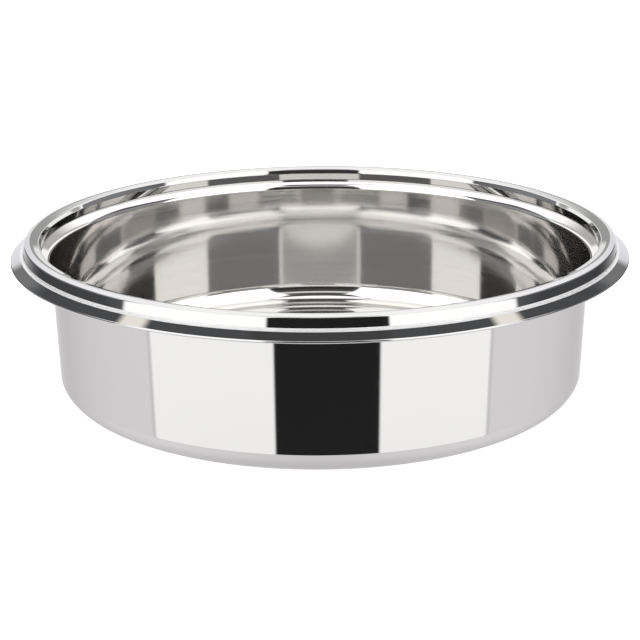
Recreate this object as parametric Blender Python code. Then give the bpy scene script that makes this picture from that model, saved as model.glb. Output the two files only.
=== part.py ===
"""A round stainless basin with a stepped rim, for a buffet soup station or chafing dish.

Two pieces: a drawn basin (floor, corner, slightly tapered wall, sloping seat and
the flange below the ridge), and a formed rim ring (ridge, lip and folded edge)
that stands on that flange. Both are sheets of one thickness turned about the Z
axis. Metres, +Z up, origin on the underside at the centre.
"""

import math

import bmesh
import bpy
from mathutils import Vector

MM = 0.001

# Driving dimensions, in millimetres.
SHEET = 0.8  # thickness of both sheets
JOINT_GAP = 0.3  # gap between the ring's inner leg and the flange that it stands on
STEPS = 96  # segments round the axis

# Basin: radii are of the outer skin, heights are above the underside.
WALL_R_BOTTOM = 172.9
WALL_R_TOP = 175.1
WALL_Z_BOTTOM = 14.2
WALL_Z_TOP = 90.0
CORNER_R = 14.2
SEAT_IN_Z = 89.95  # where the wall and the sloping seat would meet without the rounding
SEAT_ROUND = 5.0  # rounding from the wall to the seat
SEAT_OUT_R = 180.4  # foot of the ridge, where the seat turns into the flange
SEAT_OUT_ROUND = 1.2
FLANGE_Z = 93.35  # top of the flat flange under the ridge
FLANGE_R = 183.0

# Rim ring: the visible side of the sheet.
LEG_R_FOOT = 180.6
LEG_R_WAIST = 180.25  # the leg's lower half leans in a little, its upper half leans out
LEG_Z_WAIST = 98.3
LEG_WAIST_ROUND = 1.5
LEG_R_HEAD = 181.5
RIDGE_IN_Z = 101.2
RIDGE_IN_ROUND = 1.3
RIDGE_TOP_R = 186.67  # where the two slopes of the ridge would meet without the doming
RIDGE_TOP_Z = 102.78
RIDGE_TOP_ROUND = 5.0
RIDGE_OUT_R = 190.6
RIDGE_OUT_Z = 101.35
RIDGE_OUT_ROUND = 0.9
FACE_FOOT_R = 192.0  # foot of the ridge's outer face, where the sheet turns under
FACE_FOOT_Z = 95.35
FACE_FOOT_ROUND = 1.2
CREASE_R = 191.05  # tight fold between the ridge and the lip
CREASE_Z = 94.4
CREASE_ROUND = 0.25
CREST_R = 193.45  # outer end of the flat top of the lip
CREST_Z = 94.2
CREST_ROUND = 1.0
BEVEL_R = 199.45
BEVEL_Z = 90.9
EDGE_ROUND = 0.85  # outer radius of the folded edge
HEM_LENGTH = 3.4  # what is folded back below the bevel

STEEL = (0.62, 0.615, 0.605, 1.0)


def clear_scene():
    for obj in list(bpy.data.objects):
        bpy.data.objects.remove(obj, do_unlink=True)


def steel(name, roughness):
    material = bpy.data.materials.new(name)
    material.use_nodes = True
    bsdf = material.node_tree.nodes["Principled BSDF"]
    bsdf.inputs["Base Color"].default_value = STEEL
    bsdf.inputs["Metallic"].default_value = 1.0
    bsdf.inputs["Roughness"].default_value = roughness
    material.diffuse_color = STEEL
    return material


def right_of(direction):
    """The unit normal on the right of a direction of travel in the (r, z) plane: the hidden side of the sheet."""
    return Vector((direction.y, -direction.x))


def bent_path(corners, step_deg):
    """(point, normal) pairs along straight runs with a rounding at each inner corner (r, z, radius)."""
    points = [Vector(corner[:2]) for corner in corners]
    first = (points[1] - points[0]).normalized()
    last = (points[-1] - points[-2]).normalized()
    samples = [(points[0], right_of(first))]
    for before, here, after, corner in zip(points, points[1:], points[2:], corners[1:]):
        radius = corner[2]
        d_in = (here - before).normalized()
        d_out = (after - here).normalized()
        turn = math.atan2(d_in.x * d_out.y - d_in.y * d_out.x, d_in.dot(d_out))
        tangent = radius * math.tan(abs(turn) / 2)
        side = -1.0 if turn < 0 else 1.0
        start = here - d_in * tangent
        centre = start - right_of(d_in) * radius * side
        count = max(2, round(abs(math.degrees(turn)) / step_deg))
        for i in range(count + 1):
            angle = turn * i / count
            c, s = math.cos(angle), math.sin(angle)
            arm = right_of(d_in)
            arm = Vector((arm.x * c - arm.y * s, arm.x * s + arm.y * c))
            samples.append((centre + arm * radius * side, arm))
    samples.append((points[-1], right_of(last)))
    return samples


def folded_edge(samples, radius, hem, steps):
    """Adds a half-circle fold to the hidden side, and the hem that comes back below."""
    start, normal = samples[-1]
    centre = start + normal * radius
    for i in range(1, steps + 1):
        angle = -math.pi * i / steps
        c, s = math.cos(angle), math.sin(angle)
        arm = Vector((normal.x * c - normal.y * s, normal.x * s + normal.y * c))
        samples.append((centre - arm * radius, arm))
    end, arm = samples[-1]
    samples.append((end + Vector((-arm.y, arm.x)) * hem, arm))
    return samples


def sheet_outline(samples, thickness):
    """Both sides of the sheet: the visible side outward along the path, then the hidden side back."""
    visible = [point for point, _ in samples]
    hidden = [point + normal * thickness for point, normal in samples]
    return visible + hidden[::-1]


def turned(name, outline, closed, material):
    """The outline, turned once round the Z axis."""
    bm = bmesh.new()
    verts = [bm.verts.new((max(p.x, 0.0) * MM, 0.0, p.y * MM)) for p in outline]
    pairs = list(zip(verts, verts[1:]))
    if closed:
        pairs.append((verts[-1], verts[0]))
    edges = [bm.edges.new(pair) for pair in pairs]
    bmesh.ops.spin(
        bm,
        geom=verts + edges,
        cent=(0.0, 0.0, 0.0),
        axis=(0.0, 0.0, 1.0),
        angle=2.0 * math.pi,
        steps=STEPS,
        use_merge=True,
    )
    bmesh.ops.remove_doubles(bm, verts=bm.verts, dist=0.00001)
    bmesh.ops.recalc_face_normals(bm, faces=bm.faces)
    if bm.calc_volume(signed=True) < 0:
        bmesh.ops.reverse_faces(bm, faces=bm.faces)
    mesh = bpy.data.meshes.new(name)
    bm.to_mesh(mesh)
    bm.free()
    mesh.materials.append(material)
    mesh.shade_smooth()
    mesh.set_sharp_from_angle(angle=math.radians(35.0))
    obj = bpy.data.objects.new(name, mesh)
    bpy.context.scene.collection.objects.link(obj)
    return obj


def wall_inner_r(z):
    taper = (WALL_R_TOP - WALL_R_BOTTOM) / (WALL_Z_TOP - WALL_Z_BOTTOM)
    return WALL_R_BOTTOM - SHEET + taper * (z - WALL_Z_BOTTOM)


def basin_outline():
    path = bent_path(
        [
            (0.0, SHEET, 0.0),
            (wall_inner_r(SHEET), SHEET, CORNER_R - SHEET),
            (wall_inner_r(SEAT_IN_Z), SEAT_IN_Z, SEAT_ROUND),
            (SEAT_OUT_R, FLANGE_Z, SEAT_OUT_ROUND),
            (FLANGE_R, FLANGE_Z, 0.0),
        ],
        9.0,
    )
    return sheet_outline(path, SHEET)


def ring_outline():
    path = bent_path(
        [
            (LEG_R_FOOT, FLANGE_Z + JOINT_GAP, 0.0),
            (LEG_R_WAIST, LEG_Z_WAIST, LEG_WAIST_ROUND),
            (LEG_R_HEAD, RIDGE_IN_Z, RIDGE_IN_ROUND),
            (RIDGE_TOP_R, RIDGE_TOP_Z, RIDGE_TOP_ROUND),
            (RIDGE_OUT_R, RIDGE_OUT_Z, RIDGE_OUT_ROUND),
            (FACE_FOOT_R, FACE_FOOT_Z, FACE_FOOT_ROUND),
            (CREASE_R, CREASE_Z, CREASE_ROUND),
            (CREST_R, CREST_Z, CREST_ROUND),
            (BEVEL_R, BEVEL_Z, 0.0),
        ],
        24.0,
    )
    path = folded_edge(path, EDGE_ROUND, HEM_LENGTH, 5)
    return sheet_outline(path, SHEET)


clear_scene()
turned("basin_shell", basin_outline(), False, steel("basin_steel", 0.12))
turned("rim_ring", ring_outline(), True, steel("rim_steel", 0.05))
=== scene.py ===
"""The looks of a round stainless basin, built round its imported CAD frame."""

import math

import bpy
from mathutils import Matrix, Vector


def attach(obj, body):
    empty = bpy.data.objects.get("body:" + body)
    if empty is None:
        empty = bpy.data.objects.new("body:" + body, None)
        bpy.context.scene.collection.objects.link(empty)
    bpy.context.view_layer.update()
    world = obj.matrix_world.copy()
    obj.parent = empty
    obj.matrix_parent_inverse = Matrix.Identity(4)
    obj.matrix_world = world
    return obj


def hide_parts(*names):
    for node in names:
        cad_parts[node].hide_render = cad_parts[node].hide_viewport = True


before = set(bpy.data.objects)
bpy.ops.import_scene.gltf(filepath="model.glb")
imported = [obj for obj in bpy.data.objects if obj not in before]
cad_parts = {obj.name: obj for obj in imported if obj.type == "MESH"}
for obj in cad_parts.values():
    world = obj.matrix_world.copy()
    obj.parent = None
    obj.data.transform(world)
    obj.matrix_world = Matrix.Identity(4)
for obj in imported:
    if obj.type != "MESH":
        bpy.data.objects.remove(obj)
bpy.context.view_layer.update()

MM = 0.001

# ---------------------------------------------------------------- geometry

SHEET = 0.8
TURNS = 384  # segments round the axis

WALL_R_BOTTOM, WALL_R_TOP = 172.9, 175.1
WALL_Z_BOTTOM, WALL_Z_TOP = 14.2, 90.0
CORNER_R = 14.2
SEAT_IN_Z, SEAT_ROUND = 89.95, 5.0
SEAT_OUT_R, FLANGE_Z, FLANGE_R = 180.4, 93.35, 183.0


def right_of(d):
    return Vector((d.y, -d.x))


def bent_path(corners, step_deg, run_mm):
    """(point, hidden-side normal) samples along straight runs, with a rounding at each inner corner (r, z, radius)."""
    pts = [Vector(c[:2]) for c in corners]
    out = []

    def run(a, b, normal):
        n = max(1, math.ceil((b - a).length / run_mm))
        out.extend((a.lerp(b, i / n), normal) for i in range(n + 1))

    cursor = pts[0]
    for before, here, after, corner in zip(pts, pts[1:], pts[2:], corners[1:]):
        d_in, d_out = (here - before).normalized(), (after - here).normalized()
        turn = math.atan2(d_in.x * d_out.y - d_in.y * d_out.x, d_in.dot(d_out))
        tangent = corner[2] * math.tan(abs(turn) / 2)
        side = -1.0 if turn < 0 else 1.0
        start = here - d_in * tangent
        run(cursor, start, right_of(d_in))
        centre = start - right_of(d_in) * corner[2] * side
        n = max(3, math.ceil(abs(math.degrees(turn)) / step_deg))
        for i in range(1, n + 1):
            c, s = math.cos(turn * i / n), math.sin(turn * i / n)
            a = right_of(d_in)
            a = Vector((a.x * c - a.y * s, a.x * s + a.y * c))
            out.append((centre + a * corner[2] * side, a))
        cursor = out.pop()[0]
    run(cursor, pts[-1], right_of((pts[-1] - pts[-2]).normalized()))
    return out


def folded(samples, radius, hem, steps):
    start, normal = samples[-1]
    centre = start + normal * radius
    for i in range(1, steps + 1):
        c, s = math.cos(-math.pi * i / steps), math.sin(-math.pi * i / steps)
        arm = Vector((normal.x * c - normal.y * s, normal.x * s + normal.y * c))
        samples.append((centre - arm * radius, arm))
    end, arm = samples[-1]
    samples.append((end + Vector((-arm.y, arm.x)) * hem, arm))
    return samples


def both_sides(samples, thickness):
    """Closed outline with outward normals: the visible side out, then the hidden side back."""
    front = [(p, -n) for p, n in samples]
    back = [(p + n * thickness, n) for p, n in samples]
    return front + back[::-1]


def turned(name, outline, ends_on_axis, material):
    """Turns the outline round Z, with the outline's own normals, so that reflections run true."""
    verts, faces, normals = [], [], []
    rings = []
    for p, n in outline:
        if p.x < 1e-6:
            rings.append([len(verts)])
            verts.append((0.0, 0.0, p.y * MM))
            normals.append((0.0, 0.0, 1.0 if n.y > 0 else -1.0))
            continue
        ring = []
        for k in range(TURNS):
            a = 2 * math.pi * k / TURNS
            c, s = math.cos(a), math.sin(a)
            ring.append(len(verts))
            verts.append((p.x * MM * c, p.x * MM * s, p.y * MM))
            normals.append((n.x * c, n.x * s, n.y))
        rings.append(ring)
    pairs = list(zip(rings, rings[1:]))
    if not ends_on_axis:
        pairs.append((rings[-1], rings[0]))
    for a, b in pairs:
        for k in range(TURNS):
            j = (k + 1) % TURNS
            if len(a) == 1 and len(b) == 1:
                continue
            if len(a) == 1:
                faces.append((a[0], b[k], b[j]))
            elif len(b) == 1:
                faces.append((a[k], b[0], a[j]))
            else:
                faces.append((a[k], b[k], b[j], a[j]))
    mesh = bpy.data.meshes.new(name)
    mesh.from_pydata(verts, [], faces)
    mesh.validate()
    mesh.materials.append(material)
    mesh.shade_smooth()
    mesh.normals_split_custom_set_from_vertices(normals)
    obj = bpy.data.objects.new(name, mesh)
    bpy.context.scene.collection.objects.link(obj)
    return obj


def wall_inner_r(z):
    taper = (WALL_R_TOP - WALL_R_BOTTOM) / (WALL_Z_TOP - WALL_Z_BOTTOM)
    return WALL_R_BOTTOM - SHEET + taper * (z - WALL_Z_BOTTOM)


def basin_path():
    return bent_path(
        [
            (0.0, SHEET, 0.0),
            (wall_inner_r(SHEET), SHEET, CORNER_R - SHEET),
            (wall_inner_r(SEAT_IN_Z), SEAT_IN_Z, SEAT_ROUND),
            (SEAT_OUT_R, FLANGE_Z, 1.2),
            (FLANGE_R, FLANGE_Z, 0.0),
        ],
        3.0,
        6.0,
    )


def rim_path():
    path = bent_path(
        [
            (180.6, 93.65, 0.0),
            (180.25, 98.3, 1.5),
            (181.5, 101.2, 1.3),
            (186.67, 102.78, 5.0),
            (190.6, 101.35, 0.9),
            (192.0, 95.35, 1.2),
            (191.05, 94.4, 0.25),
            (193.45, 94.2, 1.0),
            (199.45, 90.9, 0.0),
        ],
        5.0,
        3.0,
    )
    return folded(path, 0.85, 3.4, 20)


# ---------------------------------------------------------------- materials


class Nodes:
    """Short names for the shader nodes used below. Each call adds one node and returns its output."""

    def __init__(self, tree):
        self.tree = tree

    def add(self, kind, **settings):
        node = self.tree.nodes.new(kind)
        for key, value in settings.items():
            setattr(node, key, value)
        return node

    def put(self, socket, value):
        if isinstance(value, bpy.types.NodeSocket):
            self.tree.links.new(value, socket)
        else:
            socket.default_value = value

    def math(self, op, a, b=0.0, c=0.0):
        node = self.add("ShaderNodeMath", operation=op)
        for socket, value in zip(node.inputs, (a, b, c)):
            self.put(socket, value)
        return node.outputs[0]

    def step(self, value, edge, soft):
        """0 below the edge, 1 above it, with a smooth change over edge - soft to edge + soft."""
        node = self.add("ShaderNodeMapRange", interpolation_type="SMOOTHSTEP", clamp=True)
        self.put(node.inputs["Value"], value)
        self.put(node.inputs["From Min"], edge - soft)
        self.put(node.inputs["From Max"], edge + soft)
        return node.outputs["Result"]

    def ramp(self, value, low, high, to_low=0.0, to_high=1.0):
        node = self.add("ShaderNodeMapRange", interpolation_type="LINEAR", clamp=True)
        for key, v in (("Value", value), ("From Min", low), ("From Max", high), ("To Min", to_low), ("To Max", to_high)):
            self.put(node.inputs[key], v)
        return node.outputs["Result"]

    def band(self, value, low, high, soft):
        return self.math("MULTIPLY", self.step(value, low, soft), self.math("SUBTRACT", 1.0, self.step(value, high, soft)))

    def both(self, a, b):
        return self.math("MULTIPLY", a, b)

    def either(self, a, b):
        return self.math("MAXIMUM", a, b)

    def mix(self, mask, below, above):
        node = self.add("ShaderNodeMix", data_type="RGBA")
        self.put(node.inputs[0], mask)
        self.put(node.inputs[6], below)
        self.put(node.inputs[7], above)
        return node.outputs[2]

    def noise(self, vector, scale, detail=2.0, rough=0.5):
        node = self.add("ShaderNodeTexNoise")
        self.put(node.inputs["Vector"], vector)
        self.put(node.inputs["Scale"], scale)
        self.put(node.inputs["Detail"], detail)
        self.put(node.inputs["Roughness"], rough)
        return node.outputs["Fac"]

    def vector(self, x, y, z):
        node = self.add("ShaderNodeCombineXYZ")
        for socket, value in zip(node.inputs, (x, y, z)):
            self.put(socket, value)
        return node.outputs[0]


def linear(level, tint=(1.0, 1.0, 1.0)):
    """A display level of 0 to 255 as linear light."""
    v = level / 255
    v = ((v + 0.055) / 1.055) ** 2.4 if v > 0.04045 else v / 12.92
    return (v * tint[0], v * tint[1], v * tint[2], 1.0)


def turned_steel(name, colour, rough, rough_spread, line_mm, line_depth, wave_depth, streak, edge=0.7, metal=1.0):
    """Polished stainless: fine polishing lines that run round the axis, patches of duller and brighter polish,
    a few faint scuffs, and the slight unevenness of drawn sheet."""
    m = bpy.data.materials.new(name)
    m.use_nodes = True
    m.node_tree.nodes.clear()
    n = Nodes(m.node_tree)
    bsdf = n.add("ShaderNodeBsdfPrincipled")
    out = n.add("ShaderNodeOutputMaterial")
    m.node_tree.links.new(bsdf.outputs[0], out.inputs["Surface"])
    place = n.add("ShaderNodeTexCoord").outputs["Object"]
    split = n.add("ShaderNodeSeparateXYZ")
    n.put(split.inputs[0], place)
    x, y, z = split.outputs
    radius = n.math("SQRT", n.math("ADD", n.math("MULTIPLY", x, x), n.math("MULTIPLY", y, y)))
    turn = n.math("ARCTAN2", y, x)
    along = n.math("ADD", n.math("MULTIPLY", radius, 0.7), z)
    # polishing lines: long round the axis, fine across it
    lines = n.noise(n.vector(n.math("MULTIPLY", n.math("COSINE", turn), 0.9), n.math("MULTIPLY", n.math("SINE", turn), 0.9), n.math("MULTIPLY", along, 1000 / line_mm)), 1.0, 3.0, 0.65)
    patches = n.noise(place, 9.0, 3.0, 0.55)
    fine = n.noise(place, 420.0, 2.0, 0.6)
    scuff_mask = n.step(n.noise(place, 34.0, 4.0, 0.7), 0.66, 0.05)
    r = n.math("ADD", rough, n.math("MULTIPLY", n.math("SUBTRACT", patches, 0.5), rough_spread))
    r = n.math("ADD", r, n.math("MULTIPLY", n.math("SUBTRACT", lines, 0.5), streak))
    r = n.math("ADD", r, n.math("MULTIPLY", scuff_mask, rough * 0.5))
    r = n.math("ADD", r, n.math("MULTIPLY", n.math("SUBTRACT", fine, 0.5), rough * 0.25))
    n.put(bsdf.inputs["Roughness"], n.math("MAXIMUM", r, 0.015))
    shade = n.math("ADD", 1.0, n.math("MULTIPLY", n.math("SUBTRACT", lines, 0.5), streak * 1.2))
    shade = n.math("MULTIPLY", shade, n.ramp(patches, 0.3, 0.7, 0.985, 1.0))
    tone = n.add("ShaderNodeVectorMath", operation="SCALE")
    n.put(tone.inputs[0], colour)
    n.put(tone.inputs["Scale"], shade)
    n.put(bsdf.inputs["Base Color"], tone.outputs[0])
    n.put(bsdf.inputs["Metallic"], metal)
    n.put(bsdf.inputs["Specular Tint"], (edge, edge, edge, 1.0))
    waves = n.noise(place, 13.0, 1.0, 0.4)
    bump_waves = n.add("ShaderNodeBump")
    n.put(bump_waves.inputs["Strength"], 1.0)
    n.put(bump_waves.inputs["Distance"], wave_depth)
    n.put(bump_waves.inputs["Height"], waves)
    bump = n.add("ShaderNodeBump")
    n.put(bump.inputs["Strength"], 1.0)
    n.put(bump.inputs["Distance"], line_depth)
    n.put(bump.inputs["Height"], lines)
    n.put(bump.inputs["Normal"], bump_waves.outputs[0])
    n.put(bsdf.inputs["Normal"], bump.outputs[0])
    return m


mirror = turned_steel("steel_mirror", (0.665, 0.66, 0.655), 0.035, 0.02, 0.9, 0.0000006, 0.000008, 0.012)
satin = turned_steel("steel_satin", (0.86, 0.845, 0.83), 0.06, 0.02, 1.5, 0.0000022, 0.00002, 0.12, metal=0.985)
rim_steel = turned_steel("steel_rim", (0.67, 0.665, 0.66), 0.025, 0.012, 0.7, 0.0000003, 0.000004, 0.008)
# The fold's near-white, part-matte colour is painted light: a light band along the fold between ridge and lip,
# standing in for the light that the fold reflects.
painted_fold_light = turned_steel("steel_painted_fold_light", (0.98, 0.975, 0.975), 0.46, 0.08, 0.4, 0.0000020, 0.000002, 0.10, metal=0.65)

basin = turned("basin_polished", both_sides(basin_path(), SHEET), True, mirror)
basin.data.materials.append(satin)
inner_faces = len(basin_path()) - 1
for face in basin.data.polygons:  # the inside is satin, the outside mirror
    if face.index < inner_faces * TURNS:
        face.material_index = 1
rim = turned("rim_polished", both_sides(rim_path(), SHEET), False, rim_steel)
rim.data.materials.append(painted_fold_light)
for face in rim.data.polygons:  # the fold between ridge and lip gets the rough, near-white, part-matte steel: a painted light band along the fold
    middle = face.center
    r, h = math.hypot(middle.x, middle.y) / MM, middle.z / MM
    if 190.9 < r < 193.7 and 93.9 < h < 95.7 and face.index < (len(rim_path()) - 1) * TURNS:
        face.material_index = 1
for piece, node, slot in ((basin, "basin_shell", "basin_steel"), (rim, "rim_ring", "rim_steel")):
    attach(piece, "root")
    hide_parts(node)

# ---------------------------------------------------------------- studio


def studio_world():
    """Soft boxes left and right of a dark gap in front, softer light above and at the back, a pale floor all round."""
    world = bpy.data.worlds.new("studio")
    bpy.context.scene.world = world
    world.use_nodes = True
    world.node_tree.nodes.clear()
    n = Nodes(world.node_tree)
    split = n.add("ShaderNodeSeparateXYZ")
    n.put(split.inputs[0], n.add("ShaderNodeTexCoord").outputs["Generated"])
    x, y, z = split.outputs
    az = n.math("MULTIPLY", n.math("ARCTAN2", x, n.math("MULTIPLY", y, -1.0)), 57.29578)
    el = n.math("MULTIPLY", n.math("ARCSINE", n.math("MINIMUM", n.math("MAXIMUM", z, -1.0), 1.0)), 57.29578)
    off = n.math("ABSOLUTE", az)
    cool, warm, lilac = (0.97, 0.995, 1.04), (1.04, 1.0, 0.93), (1.01, 0.985, 1.005)

    shade = n.mix(n.ramp(el, 1.0, 8.0), linear(64, cool), linear(120, cool))
    c = n.mix(n.ramp(el, 20.0, 29.0), shade, linear(72, cool))
    # low light round the sides and the back
    low = n.mix(n.ramp(off, 135.0, 160.0), linear(206, lilac), linear(214, lilac))
    c = n.mix(n.both(n.step(off, 75.5, 2.0), n.math("SUBTRACT", 1.0, n.step(el, -10.0, 4.0))), c, low)
    wall = n.mix(n.band(el, 8.0, 21.0, 4.0), linear(240, (0.99, 0.99, 1.03)), linear(233, (0.98, 0.99, 1.04)))
    c = n.mix(n.both(n.step(off, 146.5, 1.5), n.band(el, 6.0, 26.0, 3.0)), c, linear(120))
    edge = n.math("ADD", n.step(off, 153.0, 1.5), n.both(n.step(off, 147.0, 2.0), n.step(el, 26.0, 3.0)))
    c = n.mix(n.both(n.math("MINIMUM", edge, 1.0), n.band(el, -10.0, 66.0, 3.0)), c, wall)
    # high soft boxes
    c = n.mix(n.both(n.band(off, 20.0, 132.0, 2.0), n.band(el, 41.0, 80.0, 2.5)), c, linear(252))
    c = n.mix(n.both(n.band(off, 131.5, 140.0, 1.5), n.band(el, 49.5, 54.5, 1.0)), c, linear(222, warm))
    # tall panels in front
    panel = n.either(n.band(az, 24.5, 75.5, 1.2), n.band(az, -75.5, -19.0, 1.2))
    lit = n.mix(n.ramp(el, -27.0, 5.0), linear(234), linear(254))
    c = n.mix(n.both(panel, n.math("SUBTRACT", 1.0, n.step(el, 66.0, 2.0))), c, lit)
    # the gap between them, carried overhead
    gap = n.mix(n.ramp(el, 24.0, 38.0), linear(31), linear(56))
    gap = n.mix(n.step(el, 46.0, 1.5), gap, linear(184))
    gap = n.mix(n.step(el, 56.5, 1.5), gap, linear(60))
    c = n.mix(n.both(n.band(az, -19.0, 24.5, 0.6), n.math("SUBTRACT", 1.0, n.step(el, 68.0, 2.0))), c, gap)
    overhead = n.math("DIVIDE", n.math("ABSOLUTE", x), n.math("MAXIMUM", z, 0.01))
    c = n.mix(n.both(n.step(el, 67.0, 2.0), n.math("SUBTRACT", 1.0, n.step(overhead, 0.185, 0.02))), c, linear(62))
    c = n.mix(n.step(el, 79.5, 1.0), c, linear(240))
    # pale floor below
    floor = n.mix(n.ramp(off, 0.0, 75.0), linear(197, lilac), linear(210, lilac))
    floor = n.mix(n.ramp(el, -45.0, -75.0), floor, linear(188, lilac))
    c = n.mix(n.math("SUBTRACT", 1.0, n.step(el, -27.6, 0.5)), c, floor)
    back = n.add("ShaderNodeBackground")
    n.put(back.inputs["Color"], c)
    n.put(back.inputs["Strength"], 1.53)
    out = n.add("ShaderNodeOutputWorld")
    n.put(out.inputs["Surface"], back.outputs[0])


def banded_light(name, half, low_z, high_z, dull, bright):
    """A light panel with a duller band across its middle, between two heights."""
    m = bpy.data.materials.new(name)
    m.use_nodes = True
    m.node_tree.nodes.clear()
    n = Nodes(m.node_tree)
    split = n.add("ShaderNodeSeparateXYZ")
    n.put(split.inputs[0], n.add("ShaderNodeTexCoord").outputs["Object"])
    e = n.add("ShaderNodeEmission")
    rows = n.math("SUBTRACT", n.ramp(split.outputs[2], low_z, low_z + 0.012), n.ramp(split.outputs[2], high_z, high_z + 0.06))
    columns = n.math("SUBTRACT", 1.0, n.step(n.math("ABSOLUTE", split.outputs[0]), half, 0.02))
    n.put(e.inputs["Color"], n.mix(n.both(rows, columns), linear(bright), linear(dull)))
    n.put(e.inputs["Strength"], 1.53)
    out = n.add("ShaderNodeOutputMaterial")
    n.put(out.inputs["Surface"], e.outputs[0])
    return m


def card(name, corners, material):
    mesh = bpy.data.meshes.new(name)
    mesh.from_pydata(corners, [], [tuple(range(len(corners)))])
    mesh.materials.append(material)
    obj = bpy.data.objects.new(name, mesh)
    bpy.context.scene.collection.objects.link(obj)
    return obj


def pale_floor():
    m = bpy.data.materials.new("floor")
    m.use_nodes = True
    m.node_tree.nodes.clear()
    n = Nodes(m.node_tree)
    d = n.add("ShaderNodeBsdfDiffuse")
    n.put(d.inputs["Color"], (0.9, 0.9, 0.9, 1.0))
    e = n.add("ShaderNodeEmission")
    n.put(e.inputs["Strength"], 0.72)
    both = n.add("ShaderNodeAddShader")
    n.put(both.inputs[0], d.outputs[0])
    n.put(both.inputs[1], e.outputs[0])
    seen = n.add("ShaderNodeMixShader")  # clear from below, so that the underside can be looked at
    n.put(seen.inputs[0], n.add("ShaderNodeNewGeometry").outputs["Backfacing"])
    n.put(seen.inputs[1], both.outputs[0])
    n.put(seen.inputs[2], n.add("ShaderNodeBsdfTransparent").outputs[0])
    out = n.add("ShaderNodeOutputMaterial")
    n.put(out.inputs["Surface"], seen.outputs[0])
    obj = card("floor", [(-30, -30, -0.0005), (30, -30, -0.0005), (30, 30, -0.0005), (-30, 30, -0.0005)], m)
    obj.visible_glossy = False
    return obj


studio_world()
pale_floor()
back_card = card("back_card", [(-0.33, 0.4, -0.3), (0.33, 0.4, -0.3), (0.33, 0.4, 1.37), (-0.33, 0.4, 1.37)], banded_light("back_light", 0.30, 0.181, 0.25, 163, 242))
back_card.visible_camera = False
back_card.visible_shadow = False

scene = bpy.context.scene
scene.view_settings.view_transform = "Standard"
scene.view_settings.look = "None"
scene.view_settings.exposure = 0.0
scene.view_settings.gamma = 1.0

# ---------------------------------------------------------------- camera

FIT = 0.99256  # camera distances were worked out for a lip a little over 400 mm
DIST, ELEV, AIM, ROLL = 1.04051 * FIT, math.radians(15.18), math.radians(2.72), math.radians(-0.39)
LIP_Z = 0.09005
pitch = ELEV + AIM
fwd = Vector((0, math.cos(pitch), -math.sin(pitch)))
up = Vector((0, math.sin(pitch), math.cos(pitch)))
right = Vector((1, 0, 0))
fwd = (fwd - right * (0.24 / 1570)).normalized()
right = fwd.cross(up).normalized()
up = right.cross(fwd)
c, s = math.cos(ROLL), math.sin(ROLL)
right, up = right * c + up * s, up * c - right * s
cam_data = bpy.data.cameras.new("camera")
cam_data.sensor_width = 36.0
cam_data.lens = 1570.27 / 640 * 36.0
cam_data.clip_start, cam_data.clip_end = 0.01, 50
camera = bpy.data.objects.new("camera", cam_data)
bpy.context.scene.collection.objects.link(camera)
eye = Vector((0, -DIST * math.cos(ELEV), DIST * math.sin(ELEV) + LIP_Z))
camera.matrix_world = Matrix(
    ((right.x, up.x, -fwd.x, eye.x), (right.y, up.y, -fwd.y, eye.y), (right.z, up.z, -fwd.z, eye.z), (0, 0, 0, 1))
)
bpy.context.scene.camera = camera
